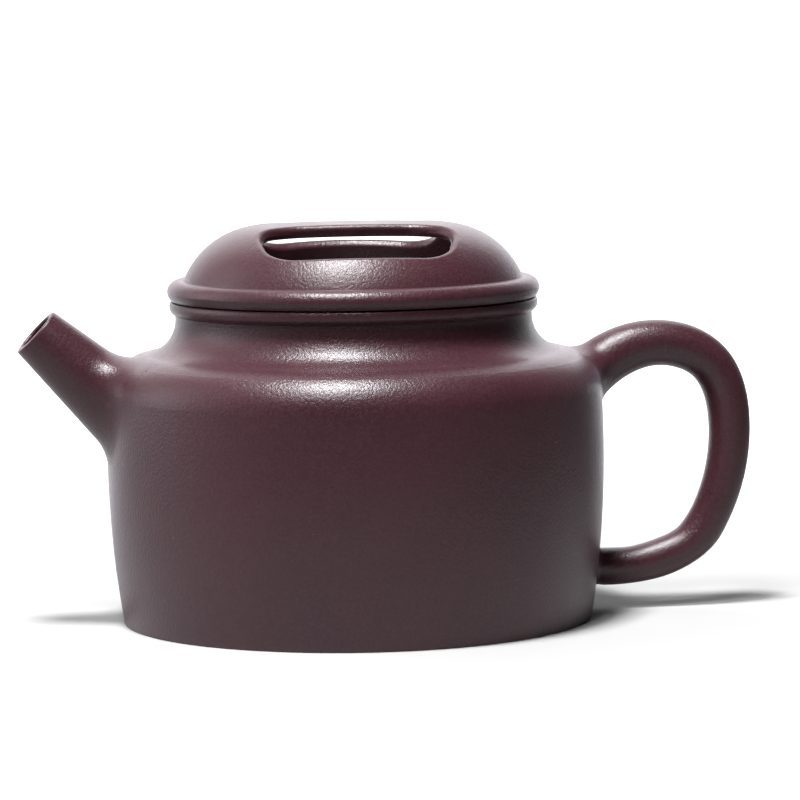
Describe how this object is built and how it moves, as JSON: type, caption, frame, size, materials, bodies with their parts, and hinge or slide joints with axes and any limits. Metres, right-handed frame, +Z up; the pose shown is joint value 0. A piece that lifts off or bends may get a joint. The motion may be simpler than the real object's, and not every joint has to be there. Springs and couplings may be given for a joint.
{
  "type": "clay teapot",
  "caption": "Low cylindrical unglazed clay teapot with a straight tapering spout, an ear handle and a lift-off domed lid whose two long openings leave a grip bridge.",
  "frame": {"origin": "centre of the flat foot on the pot's axis, in the plane it stands on", "axes": "+X toward the handle, -X toward the spout, +Z up along the pot's axis, -Y toward one of the two openings of the lid"},
  "size_m": [0.1478, 0.0992, 0.0792],
  "materials": {
    "clay_base_disc": "unglazed burnished purple-brown stoneware, satin",
    "clay_body_wall": "unglazed burnished purple-brown stoneware, satin",
    "clay_shoulder": "unglazed burnished purple-brown stoneware, satin",
    "clay_neck": "unglazed burnished purple-brown stoneware, satin",
    "clay_mouth_rim": "unglazed burnished purple-brown stoneware, satin",
    "clay_spout": "unglazed burnished purple-brown stoneware, satin",
    "clay_handle": "unglazed burnished purple-brown stoneware, satin",
    "clay_lid_plate": "unglazed burnished purple-brown stoneware, satin",
    "clay_lid_rim": "unglazed burnished purple-brown stoneware, satin",
    "clay_lid_dome": "unglazed burnished purple-brown stoneware, satin",
    "clay_lid_flange": "unglazed burnished purple-brown stoneware, satin"
  },
  "bodies": {
    "pot": {"base_disc": "clay_base_disc", "body_wall": "clay_body_wall", "shoulder": "clay_shoulder", "neck": "clay_neck", "mouth_rim": "clay_mouth_rim", "spout": "clay_spout", "handle": "clay_handle"},
    "lid": {"lid_plate": "clay_lid_plate", "lid_rim": "clay_lid_rim", "lid_dome": "clay_lid_dome", "lid_flange": "clay_lid_flange"}
  },
  "joints": [
    {"name": "lid_lift", "type": "slide", "parent": "pot", "child": "lid", "axis": [0, 0, 1], "range_m": [0, 0.05]}
  ]
}
